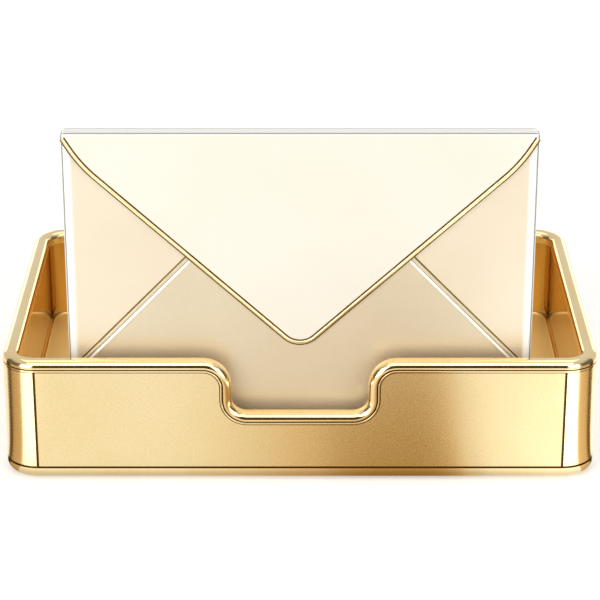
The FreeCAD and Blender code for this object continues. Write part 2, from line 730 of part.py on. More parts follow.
# Draws the arched section of a bead: a chord standing on the line x, with its arch towards -x.
def draw_arch(sketch, x, low, width, height):
    text = f"({width.text} ^ 2 / 4 + {height.text} ^ 2) / (2 * {height.text})"
    radius = Length((width.number ** 2 / 4 + height.number ** 2) / (2 * height.number), text)
    centre = point(x - height + radius, low + width / 2, zero)
    foot = point(x, low, zero)
    head = point(x, low + width, zero)
    arch = sketch.addGeometry(arc_between(centre, radius.number, head, foot, False), False)
    chord = sketch.addGeometry(Part.LineSegment(foot, head), False)
    sketch.addConstraint(Sketcher.Constraint("Coincident", arch, 2, chord, 1))
    sketch.addConstraint(Sketcher.Constraint("Coincident", chord, 2, arch, 1))
    fix_point(sketch, chord, 1, x, low)
    fix_point(sketch, chord, 2, x, low + width)
    fix_radius(sketch, arch, radius)


# Gilt bead along the closing flap's free edge: a low arched section swept along half of the
# edge and mirrored.
def make_flap_edging():
    body = new_body("flap_edging")
    path = new_sketch(body, "XZ_Plane", "EdgingPath", -flap_front)
    draw_flap_edge(path)
    section = new_sketch(body, "YZ_Plane", "EdgingSection")
    draw_arch(section, flap_front, envelope_top - size.flap_depth, size.edging_width, size.edging_height)
    doc.recompute()
    sweep = body.newObject("PartDesign::AdditivePipe", "EdgingHalf")
    sweep.Profile = section
    sweep.Spine = (path, [""])
    body.Tip = sweep
    doc.recompute()
    mirror(body, "EdgingBead", sweep, ["YZ_Plane"])
    return body


# The letter inside: a thick folded sheaf, with its fold at the bottom.
def make_letter():
    body = new_body("folded_letter")
    half_letter = half_envelope - size.letter_side_room
    letter_front = side_flap_back + size.letter_gap
    letter_back = back_panel_front - size.letter_gap
    sketch = new_sketch(body, "XZ_Plane", "LetterOutline", -letter_back)
    draw_rectangle(sketch, -half_letter, half_letter, panel_low, pocket_top - size.letter_top_room)
    pad(body, sketch, "LetterSheaf", letter_back - letter_front)
    folds = [point(zero, y, panel_low) for y in (letter_front, letter_back)]
    fillet(body, "LetterFold", size.letter_fold_radius, folds)
    return body


corner_names = ["front_left", "front_right", "back_left", "back_right"]
parts = [
    make_outer_shell(),
    make_inner_pan(),
    make_rim_cap(),
    make_base_plate(),
    make_base_screws(),
    make_letter_rest(),
    make_back_panel(),
    make_side_flap("left_side_flap", -1),
    make_side_flap("right_side_flap", 1),
    make_bottom_flap(),
    make_closing_flap(),
    make_flap_edging(),
    make_letter(),
]
for corner, (x, y) in zip(corner_names, four_places(size.pad_inset)):
    parts.append(make_foot_pad(f"foot_pad_{corner}", x, y))
for corner, (x, y) in zip(corner_names, four_places(size.post_inset)):
    parts.append(make_screw_post(f"screw_post_{corner}", x, y))

doc.recompute()
for item in doc.Objects:
    if "Invalid" in item.State or "Error" in item.State:
        raise RuntimeError(f"{item.Label} failed: {item.State}")
for body in parts:
    if body.Shape.isNull() or not body.Shape.isValid() or not body.Shape.Solids:
        raise RuntimeError(f"{body.Label} has no valid solid")

os.makedirs("parts", exist_ok=True)
for body in parts:
    body.Shape.exportStep(f"parts/{body.Label}.step")
    solids = len(body.Shape.Solids)
    print(f"{body.Label}: {solids} solid, {body.Shape.Volume:.1f} cubic mm")
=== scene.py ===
import math

import bmesh
import bpy
from mathutils import Matrix, Vector


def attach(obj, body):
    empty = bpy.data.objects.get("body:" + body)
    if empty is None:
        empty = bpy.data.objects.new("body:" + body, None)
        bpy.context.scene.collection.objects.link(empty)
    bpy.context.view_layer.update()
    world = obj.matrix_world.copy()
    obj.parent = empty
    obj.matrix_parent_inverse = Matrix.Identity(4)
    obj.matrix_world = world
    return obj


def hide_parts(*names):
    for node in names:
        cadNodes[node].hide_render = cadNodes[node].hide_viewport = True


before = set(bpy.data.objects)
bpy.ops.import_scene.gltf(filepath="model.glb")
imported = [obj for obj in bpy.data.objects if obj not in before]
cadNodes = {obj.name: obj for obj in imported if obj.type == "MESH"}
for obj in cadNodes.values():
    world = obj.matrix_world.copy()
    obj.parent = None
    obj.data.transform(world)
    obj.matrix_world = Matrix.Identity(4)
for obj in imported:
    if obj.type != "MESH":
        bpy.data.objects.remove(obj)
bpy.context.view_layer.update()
print("frame loaded")

mmPerMetre = 1000
weld = {"metres": 1e-6, "middleMm": 1e-4}  # how near two points are merged
sharpAngle = 40  # degrees past which an edge stays crisp


# An sRGB hex colour as the linear values that a node takes.
def linearColour(hexText):
    shares = [int(hexText[place:place + 2], 16) / 255 for place in (1, 3, 5)]
    linear = [share / 12.92 if share <= 0.04045 else ((share + 0.055) / 1.055) ** 2.4 for share in shares]
    return linear + [1.0]


# A link is given as a socket, or as a node for its first output.
def addNode(tree, kind, settings=None, values=None, links=None):
    node = tree.nodes.new(kind)
    for name, value in (settings or {}).items():
        setattr(node, name, value)
    for name, value in (values or {}).items():
        node.inputs[name].default_value = value
    for name, source in (links or {}).items():
        socket = source.outputs[0] if isinstance(source, bpy.types.Node) else source
        tree.links.new(socket, node.inputs[name])
    return node


def startMaterial(name):
    material = bpy.data.materials.new(name)
    material.use_nodes = True
    material.node_tree.nodes.clear()
    return material


# How the noise is spread over the tone and the gloss of every finish.
noiseSpread = {"detail": 2.0, "tone": (0.35, 0.65), "gloss": (0.3, 0.7)}


# A finish: a fine grain and a soft cloud, mixed into the tone, the gloss and a shallow relief.
# Sizes are in mm. Marks change the tone and dull the gloss: patina with painted shade in creases
# and cut lines, painted shade in card creases, and a paler painted tone, standing in for light, on
# the pan's floor. Folds are a painted highlight, white and less metallic.
def makeFinish(name, look, findMarks=None):
    material = startMaterial(name)
    tree = material.node_tree
    place = addNode(tree, "ShaderNodeTexCoord").outputs["Object"]
    noises = {}
    for kind in ("grain", "cloud"):
        noise = addNode(tree, "ShaderNodeTexNoise", links={"Vector": place}, values={
            "Scale": mmPerMetre / look[kind], "Detail": noiseSpread["detail"]})
        noises[kind] = noise.outputs["Fac"]
    both = addNode(tree, "ShaderNodeMix", values={0: look["grainShare"]}, links={
        2: noises["cloud"], 3: noises["grain"]})
    share = addNode(tree, "ShaderNodeMapRange", links={"Value": both}, values={
        "From Min": noiseSpread["tone"][0], "From Max": noiseSpread["tone"][1]})
    tone = addNode(tree, "ShaderNodeMix", {"data_type": "RGBA"}, links={0: share}, values={
        6: linearColour(look["deep"]), 7: linearColour(look["pale"])}).outputs[2]
    # Painted highlight along the card's folds: a white tone, and less metallic lustre.
    if "fold" in look:
        folds = findFoldHighlight(tree, place)
        tone = addNode(tree, "ShaderNodeMix", {"data_type": "RGBA"}, {7: linearColour(look["fold"])}, {
            0: folds, 6: tone}).outputs[2]
    rough = addNode(tree, "ShaderNodeMapRange", links={"Value": noises["grain"]}, values={
        "From Min": noiseSpread["gloss"][0], "From Max": noiseSpread["gloss"][1],
        "To Min": look["rough"][0], "To Max": look["rough"][1]})
    relief, depth, strength = look["relief"]
    bump = addNode(tree, "ShaderNodeBump", links={"Height": noises[relief]}, values={
        "Strength": strength, "Distance": depth / mmPerMetre})
    shader = addNode(tree, "ShaderNodeBsdfPrincipled", values=look["shader"], links={
        "Base Color": tone, "Roughness": rough, "Normal": bump})
    if "fold" in look:
        lustre = addNode(tree, "ShaderNodeMix", links={0: folds}, values={
            2: look["shader"]["Metallic"], 3: look["foldLustre"]})
        tree.links.new(lustre.outputs[0], shader.inputs["Metallic"])
    if "Anisotropic" in look["shader"]:
        level = addNode(tree, "ShaderNodeTangent", {"direction_type": "RADIAL", "axis": "Z"})
        tree.links.new(level.outputs[0], shader.inputs["Tangent"])
    if findMarks:
        marks = findMarks(tree, place)
        dark = addNode(tree, "ShaderNodeMix", {"data_type": "RGBA"}, {7: linearColour(look["marks"])}, {
            0: marks, 6: tone})
        worn = addNode(tree, "ShaderNodeMath", {"operation": "ABSOLUTE"}, links={0: marks})
        dull = addNode(tree, "ShaderNodeMath", {"operation": "MULTIPLY_ADD", "use_clamp": True}, {
            1: look["dulled"]}, {0: worn, 2: rough})
        tree.links.new(dark.outputs[2], shader.inputs["Base Color"])
        tree.links.new(dull.outputs[0], shader.inputs["Roughness"])
    addNode(tree, "ShaderNodeOutputMaterial", links={"Surface": shader})
    return material


# Splits a place into its distance from the middle plane, its depth and its height.
def splitPlace(tree, place):
    axes = addNode(tree, "ShaderNodeSeparateXYZ", links={0: place})
    across = addNode(tree, "ShaderNodeMath", {"operation": "ABSOLUTE"}, links={0: axes.outputs["X"]})
    return across, axes.outputs["Y"], axes.outputs["Z"]


# What a piece carries of its own. Above zero it darkens it: patina with painted shade in the crease
# and at the foot of the rim, and painted shade in the groove of the hem. Below zero it leaves brass
# its tone and only dulls it, and on card it is a painted highlight, as on the lip of the hem.
def findPatinaAndPaintedLight(tree, place):
    return addNode(tree, "ShaderNodeAttribute", {"attribute_name": "patinaAndPaintedLight"}).outputs["Fac"]


# The fine lines cut in the shell: one round its foot, and one at each end of the front, in m.
# They are darkened: part patina, part painted shade in the grooves.
shellLines = {"footTop": 0.0083, "endX": 0.1305, "endHalf": 0.0006, "sunkY": -0.09035, "sunkHalf": 0.00045}


def findShellLines(tree, place):
    across, depth, height = splitPlace(tree, place)
    foot = addNode(tree, "ShaderNodeMath", {"operation": "LESS_THAN"}, links={0: height}, values={
        1: shellLines["footTop"]})
    ends = addNode(tree, "ShaderNodeMath", {"operation": "COMPARE"}, links={0: across}, values={
        1: shellLines["endX"], 2: shellLines["endHalf"]})
    sunk = addNode(tree, "ShaderNodeMath", {"operation": "COMPARE"}, links={0: depth}, values={
        1: shellLines["sunkY"], 2: shellLines["sunkHalf"]})
    upright = addNode(tree, "ShaderNodeMath", {"operation": "MINIMUM"}, links={0: ends, 1: sunk})
    return addNode(tree, "ShaderNodeMath", {"operation": "MAXIMUM"}, links={0: foot, 1: upright})


# The floor of the pan, up to this height in m: left satin where its walls are buffed, and painted
# a paler tone that stands in for light on it.
panFloorTop = 0.0165


def findPanFloor(tree, place):
    height = addNode(tree, "ShaderNodeSeparateXYZ", links={0: place}).outputs["Z"]
    return addNode(tree, "ShaderNodeMath", {"operation": "LESS_THAN"}, {1: panFloorTop}, {0: height})


# The card's painted shade and painted highlight, in m. Creases, painted a shade darker: a line
# inside each side fold and both long edges of the top. Folds, painted white as a highlight: a strip
# along each side, which fades inwards, and the top.
cardEdges = {
    "creaseX": 0.11365, "creaseHalf": 0.00028, "creaseZ": 0.17812, "middleY": -0.0733, "halfDepth": 0.0033,
    "foldStart": 0.1092, "foldEnd": 0.1108, "foldZ": 0.1776,
}


# Painted highlight: the card painted white and less metallic along its side folds and the top, and
# where a piece carries its own mark below zero.
def findFoldHighlight(tree, place):
    across, _, height = splitPlace(tree, place)
    side = addNode(tree, "ShaderNodeMapRange", links={"Value": across}, values={
        "From Min": cardEdges["foldStart"], "From Max": cardEdges["foldEnd"]})
    high = addNode(tree, "ShaderNodeMath", {"operation": "GREATER_THAN"}, links={0: height}, values={
        1: cardEdges["foldZ"]})
    patinaAndPaintedLight = findPatinaAndPaintedLight(tree, place)
    own = addNode(tree, "ShaderNodeMath", {"operation": "MULTIPLY"}, {1: -1.0}, {0: patinaAndPaintedLight})
    both = addNode(tree, "ShaderNodeMath", {"operation": "MAXIMUM"}, links={0: side, 1: high})
    return addNode(tree, "ShaderNodeMath", {"operation": "MAXIMUM"}, links={0: both, 1: own})


# Painted shade: the card's creases painted a shade darker, and the groove inside the hem, which
# carries its own mark.
def findCardCreaseShade(tree, place):
    across, depth, height = splitPlace(tree, place)
    side = addNode(tree, "ShaderNodeMath", {"operation": "COMPARE"}, links={0: across}, values={
        1: cardEdges["creaseX"], 2: cardEdges["creaseHalf"]})
    high = addNode(tree, "ShaderNodeMath", {"operation": "GREATER_THAN"}, links={0: height}, values={
        1: cardEdges["creaseZ"]})
    deep = addNode(tree, "ShaderNodeMath", {"operation": "SUBTRACT"}, {1: cardEdges["middleY"]}, {0: depth})
    away = addNode(tree, "ShaderNodeMath", {"operation": "ABSOLUTE"}, links={0: deep})
    edge = addNode(tree, "ShaderNodeMath", {"operation": "GREATER_THAN"}, links={0: away}, values={
        1: cardEdges["halfDepth"]})
    top = addNode(tree, "ShaderNodeMath", {"operation": "MINIMUM"}, links={0: high, 1: edge})
    both = addNode(tree, "ShaderNodeMath", {"operation": "MAXIMUM"}, links={0: side, 1: top})
    groove = findPatinaAndPaintedLight(tree, place)
    return addNode(tree, "ShaderNodeMath", {"operation": "MAXIMUM"}, links={0: both, 1: groove})


def dress(node, material):
    mesh = cadNodes[node].data
    mesh.materials.clear()
    mesh.materials.append(material)


# Draws the closed section given by its corners (y, z, round, patina) in mm, at x = 0. A patina
# above zero darkens as painted shade; below zero it dulls, or on card paints a highlight.
def startSection(corners, segments):
    bm = bmesh.new()
    patinaAndPaintedLight = bm.verts.layers.float.new("patinaAndPaintedLight")
    made = [bm.verts.new((0, y, z)) for y, z, _, _ in corners]
    bm.faces.new(made)
    for vert, (_, _, roundness, shade) in zip(made, corners):
        vert[patinaAndPaintedLight] = shade
        if roundness:
            bmesh.ops.bevel(bm, geom=[vert], offset=roundness, affect="VERTICES", segments=segments,
                            profile=0.5, material=-1)
    bmesh.ops.delete(bm, geom=bm.faces[:], context="FACES_ONLY")
    return bm


# Carries the section along straight runs and turns, leaves a skin behind it, and returns the
# edges of its last place. A press squeezes the section towards a level of y.
def carrySection(bm, runs):
    edges = bm.edges[:]
    for run in runs:
        if run[0] == "go":
            made = bmesh.ops.extrude_edge_only(bm, edges=edges)["geom"]
            verts = [item for item in made if isinstance(item, bmesh.types.BMVert)]
            bmesh.ops.translate(bm, vec=run[1], verts=verts)
            fresh = set(verts)
            skin = [item for item in made if isinstance(item, bmesh.types.BMEdge)]
            edges = [edge for edge in skin if fresh.issuperset(edge.verts)]
        elif run[0] == "press":
            level, share = run[1:]
            verts = list({vert for edge in edges for vert in edge.verts})
            bmesh.ops.scale(bm, vec=(1, share, 1), verts=verts, space=Matrix.Translation((0, -level, 0)))
        else:
            centre, axis, degrees, steps = run[1:]
            verts = {vert for edge in edges for vert in edge.verts}
            made = bmesh.ops.spin(bm, geom=edges + list(verts), cent=centre, axis=axis, dvec=(0, 0, 0),
                                  angle=math.radians(degrees), steps=steps, use_duplicate=False)["geom_last"]
            edges = [item for item in made if isinstance(item, bmesh.types.BMEdge)]
    return edges


# Mirrors a right half that starts at x = 0, and joins the two halves there.
def mirrorHalf(bm):
    bmesh.ops.mirror(bm, geom=bm.verts[:] + bm.edges[:] + bm.faces[:], matrix=Matrix(),
                     merge_dist=weld["middleMm"], axis="X")


# Copies a piece to the other side, where the two don't meet.
def copyAcross(bm):
    made = bmesh.ops.duplicate(bm, geom=bm.verts[:] + bm.edges[:] + bm.faces[:])["geom"]
    verts = [item for item in made if isinstance(item, bmesh.types.BMVert)]
    bmesh.ops.scale(bm, vec=(-1, 1, 1), verts=verts)


# Turns what was drawn in mm into a piece in metres.
def addPiece(name, bm, material, body, replaced=()):
    bmesh.ops.scale(bm, vec=[1 / mmPerMetre] * 3, verts=bm.verts)
    bmesh.ops.remove_doubles(bm, verts=bm.verts, dist=weld["metres"])
    bmesh.ops.recalc_face_normals(bm, faces=bm.faces)
    mesh = bpy.data.meshes.new(name)
    bm.to_mesh(mesh)
    bm.free()
    mesh.shade_smooth()
    mesh.set_sharp_from_angle(angle=math.radians(sharpAngle))
    mesh.materials.append(material)
    piece = bpy.data.objects.new(name, mesh)
    bpy.context.scene.collection.objects.link(piece)
    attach(piece, body)
    if replaced:
        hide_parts(*replaced)


# Brass, buffed on a wheel and lacquered: a near mirror with faint haze and soft waves, and dark
# brown in the crease and at the foot: patina with painted shade.
rimLook = {
    "deep": "#F7D99E", "pale": "#FDE6B6", "grain": 2.5, "cloud": 50, "grainShare": 0.2,
    "relief": ("cloud", 0.05, 0.3), "rough": (0.05, 0.09), "shader": {"Metallic": 1.0},
    "marks": "#4E3510", "dulled": 0.3,
}
# The same brass pressed into a pan, painted a deeper tone: painted shade for where its walls
# mirror each other, with a satin floor painted paler as light.
panShadedLook = {
    "deep": "#D5AA64", "pale": "#E0BA75", "grain": 2.5, "cloud": 60, "grainShare": 0.2,
    "relief": ("cloud", 0.05, 0.3), "rough": (0.1, 0.16), "shader": {"Metallic": 1.0},
    "marks": "#FFE098", "dulled": 0.5,
}
# Brass, satin finished with a fine wheel that ran level round the band: a sheen that is drawn
# upright and stays sharp from side to side, over a fine grain drawn coarse enough to show.
# Its marks darken the cut lines: part patina, part painted shade in the grooves.
shellLook = {
    "deep": "#F6DCA4", "pale": "#FDE8B8", "grain": 0.6, "cloud": 50, "grainShare": 0.6,
    "relief": ("grain", 0.02, 0.12), "rough": (0.25, 0.31),
    "shader": {"Metallic": 1.0, "Anisotropic": 0.85, "Anisotropic Rotation": 0.25},
    "marks": "#5C4014", "dulled": 0.3,
}
# Heavy pearl card, calendered smooth: a warm pale sheet with a metallic lustre and faint fibre. Its
# folds carry a painted highlight, white and less metallic, and its creases painted shade.
sideLook = {
    "deep": "#EEDFC6", "pale": "#F2E4CC", "grain": 1.4, "cloud": 60, "grainShare": 0.25,
    "relief": ("grain", 0.006, 0.1), "rough": (0.37, 0.41),
    "shader": {"Metallic": 0.5, "Coat Weight": 0.15, "Coat Roughness": 0.2},
    "marks": "#96948A", "dulled": 0.2, "fold": "#FFFEF8", "foldLustre": 0.05,
}
# The same card on the bottom flap, painted a shade deeper: painted shade over the whole flap, and
# darker painted shade in its creases.
bottomShadedLook = dict(sideLook, deep="#DFD0B2", pale="#E6D8BC", marks="#8A7650")
# The same card on the closing flap, coated and less metallic, and painted whiter: painted light
# over the whole flap.
flapShader = {"Metallic": 0.25, "Coat Weight": 0.2, "Coat Roughness": 0.25}
flapLitLook = dict(sideLook, deep="#F1ECDC", pale="#F4EFE2", shader=flapShader)
# Hot-pressed gilt foil: a soft bright gold with the press's fine unevenness.
giltLook = {
    "deep": "#FAE2A4", "pale": "#FFF3CC", "grain": 0.8, "cloud": 12, "grainShare": 0.4,
    "relief": ("grain", 0.01, 0.2), "rough": (0.14, 0.22), "shader": {"Metallic": 1.0},
}
# Bronze foil under the gilt, printed dark: a painted shade that shows as a fine brown line each
# side of the bead.
bronzeShadeLook = {
    "deep": "#4A3110", "pale": "#7A5A26", "grain": 0.8, "cloud": 12, "grainShare": 0.5,
    "relief": ("grain", 0.01, 0.2), "rough": (0.3, 0.42), "shader": {"Metallic": 1.0},
}
# The same bronze, thinner and olive, along the hem of the bottom flap: a painted shadow beside
# the hem.
hemShadowLook = dict(bronzeShadeLook, deep="#75602E", pale="#9C8750")
# Zinc-plated steel, turned: cool grey with fine tool marks.
steelLook = {
    "deep": "#B4B6B8", "pale": "#D2D3D4", "grain": 0.3, "cloud": 4, "grainShare": 0.6,
    "relief": ("grain", 0.01, 0.3), "rough": (0.25, 0.4), "shader": {"Metallic": 1.0},
}
# Black nitrile rubber, moulded: a dull, faintly pebbled skin.
rubberLook = {
    "deep": "#1B1B1C", "pale": "#2A2A2B", "grain": 0.5, "cloud": 8, "grainShare": 0.6,
    "relief": ("grain", 0.05, 0.4), "rough": (0.6, 0.75), "shader": {"IOR": 1.52},
}
# Laid writing paper: soft, uncoated and slightly fibrous.
paperLook = {
    "deep": "#DAD3C2", "pale": "#E6E0D2", "grain": 0.9, "cloud": 25, "grainShare": 0.6,
    "relief": ("grain", 0.03, 0.3), "rough": (0.75, 0.9), "shader": {"IOR": 1.5},
}

rimBrass = makeFinish("rimBuffedBrass", rimLook, findPatinaAndPaintedLight)
panShadedBrass = makeFinish("panBrassPaintedShade", panShadedLook, findPanFloor)
shellBrass = makeFinish("shellSatinBrass", shellLook, findShellLines)
sideCard = makeFinish("sidePearlCard", sideLook, findCardCreaseShade)
bottomShadedCard = makeFinish("bottomPearlCardPaintedShade", bottomShadedLook, findCardCreaseShade)
flapLitCard = makeFinish("flapPearlCardPaintedLight", flapLitLook, findCardCreaseShade)
giltFoil = makeFinish("giltFoil", giltLook)
bronzeShadeFoil = makeFinish("bronzeShadeFoil", bronzeShadeLook)
hemShadowBronze = makeFinish("hemShadowBronzeFoil", hemShadowLook)
zincSteel = makeFinish("zincPlatedSteel", steelLook)
padRubber = makeFinish("mouldedRubber", rubberLook)
letterPaper = makeFinish("laidPaper", paperLook)

finishes = {
    "base_plate": rimBrass, "inner_pan": panShadedBrass, "letter_rest": panShadedBrass, "outer_shell": shellBrass,
    "envelope_back": sideCard, "left_side_flap": sideCard, "right_side_flap": sideCard,
    "bottom_flap": bottomShadedCard, "closing_flap": flapLitCard, "base_screws": zincSteel,
    "folded_letter": letterPaper,
}
for corner in ("front_left", "front_right", "back_left", "back_right"):
    finishes["screw_post_" + corner] = panShadedBrass
    finishes["foot_pad_" + corner] = padRubber
for node, material in finishes.items():
    dress(node, material)
print("materials given")

# Rim moulding: one drawn bead of brass with a fine crease above its foot, carried round the
# tray and down through the finger notch. Sizes in mm, in the CAD frame.
rimShape = {
    "front": -90.999, "halfWidth": 147.499, "cornerRadius": 17, "top": 65.3, "height": 6, "wall": 8.4,
    "outerRound": 3.95, "innerRound": 3.4, "face": 0.05, "creaseRise": 1.2, "creaseWidth": 0.8,
    "creaseDepth": 0.55, "creaseSlope": 0.1, "lipRound": 0.3, "footBreak": 0.5, "satin": -1.6,
    "notchHalf": 33.7, "notchDrop": 28.2, "notchTop": 14, "notchFoot": 7.5, "steps": 14,
}


def makeRim(look):
    front = look["front"]
    top = look["top"] - look["notchDrop"]  # the section starts in the middle of the notch
    low = top - look["height"]
    crease = low + look["creaseRise"]
    # Corners with a patina of 1, at the foot and in the crease, are darkened: patina with painted shade.
    bm = startSection([
        (front + look["footBreak"], low, 0, 1),
        (front + look["footBreak"], low + look["footBreak"] / 2, 0, 1),
        (front, low + look["footBreak"], 0, 0),
        (front, crease, look["lipRound"], 0),
        (front + look["creaseDepth"], crease + look["creaseSlope"], 0, 1),
        (front + look["creaseDepth"], crease + look["creaseWidth"] - look["creaseSlope"], 0, 1),
        (front + look["face"], crease + look["creaseWidth"], 0, 0),
        (front + look["face"], top, look["outerRound"], 0),
        (front + look["wall"], top, look["innerRound"], 0),
        (front + look["wall"], low, 0, look["satin"]),
    ], look["steps"])
    footTurn = (look["notchHalf"] - look["notchFoot"], 0, top + look["notchFoot"])
    topTurn = (look["notchHalf"] + look["notchTop"], 0, look["top"] - look["notchTop"])
    cornerX = look["halfWidth"] - look["cornerRadius"]
    cornerY = -front - look["cornerRadius"]
    carrySection(bm, [
        ("go", (footTurn[0], 0, 0)),
        ("turn", footTurn, (0, 1, 0), -90, look["steps"]),
        ("go", (0, 0, topTurn[2] - footTurn[2])),
        ("turn", topTurn, (0, 1, 0), 90, look["steps"]),
        ("go", (cornerX - topTurn[0], 0, 0)),
        ("turn", (cornerX, -cornerY, 0), (0, 0, 1), 90, look["steps"]),
        ("go", (0, cornerY * 2, 0)),
        ("turn", (cornerX, cornerY, 0), (0, 0, 1), 90, look["steps"]),
        ("go", (-cornerX, 0, 0)),
    ])
    mirrorHalf(bm)
    addPiece("rimMoulding", bm, rimBrass, "tray", ("rim_cap",))


makeRim(rimShape)

# Piping along the flap's edge: a gilt bead pressed over a wider line of dark bronze foil, which is
# painted shade each side of the bead. The first nine sizes are the flap's own, and inset is how far
# inside its edge the piping runs.
pipingShape = {
    "front": -77.3, "halfWidth": 114.5, "top": 178.6, "depth": 110, "tipRadius": 12, "shoulderInset": 8,
    "shoulderDrop": 16.6, "sideEdge": 3.4, "shoulderRadius": 70, "inset": 1.45, "steps": 10,
    "width": 1.7, "height": 0.85, "round": 0.7,
}
shadeLineShape = dict(pipingShape, width=2.9, height=0.08, round=0)


def makePiping(name, look, material, replaced=()):
    centre = Vector((0, 0, look["top"] - look["depth"] + look["tipRadius"]))
    shoulder = Vector((look["halfWidth"] - look["shoulderInset"], 0, look["top"] - look["shoulderDrop"]))
    end = Vector((look["halfWidth"], 0, look["top"] - look["sideEdge"]))
    reach = (shoulder - centre).length
    slope = math.atan2(shoulder.z - centre.z, shoulder.x) + math.asin(look["tipRadius"] / reach)
    steep = math.atan2(end.z - shoulder.z, end.x - shoulder.x)
    turnReach = look["shoulderRadius"] * math.tan((steep - slope) / 2)
    straight = math.sqrt(reach ** 2 - look["tipRadius"] ** 2) - turnReach
    along = Vector((math.cos(slope), 0, math.sin(slope)))
    inward = Vector((-math.sin(slope), 0, math.cos(slope)))
    upward = Vector((math.cos(steep), 0, math.sin(steep)))
    turnCentre = shoulder - along * turnReach + inward * look["shoulderRadius"]
    tip = centre.z - look["tipRadius"] + look["inset"]
    low, high = tip - look["width"] / 2, tip + look["width"] / 2
    front, crown = look["front"], look["front"] - look["height"]
    bm = startSection([
        (front, low, 0, 0),
        (crown, low, look["round"], 0),
        (crown, high, look["round"], 0),
        (front, high, 0, 0),
    ], look["steps"] // 2)
    ends = carrySection(bm, [
        ("turn", centre, (0, 1, 0), -math.degrees(slope), look["steps"]),
        ("go", along * straight),
        ("turn", turnCentre, (0, 1, 0), -math.degrees(steep - slope), look["steps"]),
        ("go", upward * ((end - shoulder).length - turnReach)),
    ])
    bmesh.ops.edgeloop_fill(bm, edges=ends)
    mirrorHalf(bm)
    addPiece(name, bm, material, "flap", replaced)


makePiping("flapPiping", pipingShape, giltFoil, ("flap_edging",))
makePiping("flapShadeLine", shadeLineShape, bronzeShadeFoil)

# Hem along the slanting edges of the bottom flap: a turned bead, a fine groove with painted shade
# and a low rising lip with a painted highlight. Where the closing flap lies over it, the hem is
# pressed flat.
hemShape = {
    "footX": 110.6, "footZ": 57.3, "degrees": 45.94, "front": -76.1, "sheet": 0.7, "overhang": 0.02,
    "beadWidth": 1.5, "beadHeight": 0.6, "beadRound": 0.4, "grooveWidth": 0.25, "grooveHeight": 0.03,
    "lipWidth": 1.75, "lipEdge": 0.04, "lipStart": 0.05, "lipHeight": 0.6, "lipRound": 0.3, "lipHighlight": -0.4,
    "sunk": 0.05, "shown": 77, "press": 1.5, "pressed": 0.25, "hidden": 24, "steps": 4,
}
# Line of olive bronze foil along the outside of the hem: a painted shadow.
hemShadowLineShape = dict(hemShape, front=-75.3, pressed=1, width=0.75, height=0.06, tucked=0.1)


def sectionHem(look):
    front = look["front"]
    bead = front - look["beadHeight"]
    groove = look["beadWidth"] + look["grooveWidth"]
    lip = groove + look["lipWidth"]
    # The groove's mark of 1 is painted shade; the lip's marks below zero are a painted highlight.
    return [
        (front + look["sheet"], -look["overhang"], 0, 0),
        (bead, -look["overhang"], look["beadRound"], 0),
        (bead, look["beadWidth"], look["beadRound"], 0),
        (front - look["grooveHeight"], look["beadWidth"], 0, 1),
        (front - look["grooveHeight"], groove, 0, 1),
        (front - look["lipStart"], groove + look["lipEdge"], 0, -1),
        (front - look["lipHeight"], lip - look["lipRound"], look["lipRound"], look["lipHighlight"]),
        (front + look["sunk"], lip, 0, 0),
        (front + look["sunk"], look["beadWidth"] / 2, 0, 0),
    ]


def sectionHemShadowLine(look):
    back, face = look["front"] + look["sunk"], look["front"] - look["height"]
    return [
        (back, -look["width"], 0, 0),
        (face, -look["width"], 0, 0),
        (face, look["tucked"], 0, 0),
        (back, look["tucked"], 0, 0),
    ]


# Carries a section up the right seam from its foot, and copies it to the left one.
def makeHem(name, look, corners, material):
    bm = startSection(corners, look["steps"])
    starts = bm.edges[:]
    ends = carrySection(bm, [
        ("go", (look["shown"], 0, 0)),
        ("go", (look["press"], 0, 0)),
        ("press", look["front"], look["pressed"]),
        ("go", (look["hidden"], 0, 0)),
    ])
    for loop in (starts, ends):
        bmesh.ops.edgeloop_fill(bm, edges=loop)
    turn = Matrix.Rotation(math.radians(180 + look["degrees"]), 4, "Y")
    foot = Matrix.Translation((look["footX"], 0, look["footZ"]))
    bmesh.ops.transform(bm, matrix=foot @ turn, verts=bm.verts)
    copyAcross(bm)
    addPiece(name, bm, material, "envelope")


makeHem("bottomFlapHem", hemShape, sectionHem(hemShape), bottomShadedCard)
makeHem("bottomFlapShadowLine", hemShadowLineShape, sectionHemShadowLine(hemShadowLineShape), hemShadowBronze)

# Shoulder of each side flap, which closes the corner of the pocket beside the closing flap.
tabShape = {"front": -75.25, "back": -74.65, "low": 160, "top": 177.2, "inner": 103, "width": 9.8}


def makeTabs(look):
    bm = startSection([
        (look["front"], look["low"], 0, 0),
        (look["front"], look["top"], 0, 0),
        (look["back"], look["top"], 0, 0),
        (look["back"], look["low"], 0, 0),
    ], 1)
    starts = bm.edges[:]
    ends = carrySection(bm, [("go", (look["width"], 0, 0))])
    for loop in (starts, ends):
        bmesh.ops.edgeloop_fill(bm, edges=loop)
    bmesh.ops.translate(bm, vec=(look["inner"], 0, 0), verts=bm.verts)
    copyAcross(bm)
    addPiece("sideFlapShoulders", bm, sideCard, "envelope")


makeTabs(tabShape)
print("rim, piping and hem made")


def addStage(name, bm, material):
    mesh = bpy.data.meshes.new(name)
    bm.to_mesh(mesh)
    bm.free()
    mesh.materials.append(material)
    card = bpy.data.objects.new(name, mesh)
    bpy.context.scene.collection.objects.link(card)
    return card


def setCurve(node, stops):
    curve = node.mapping.curves[0]
    node.mapping.use_clip = False
    curve.points[0].location = stops[0]
    curve.points[1].location = stops[-1]
    for stop in stops[1:-1]:
        curve.points.new(*stop)
    for point in curve.points:
        point.handle_type = "AUTO_CLAMPED"
    node.mapping.update()


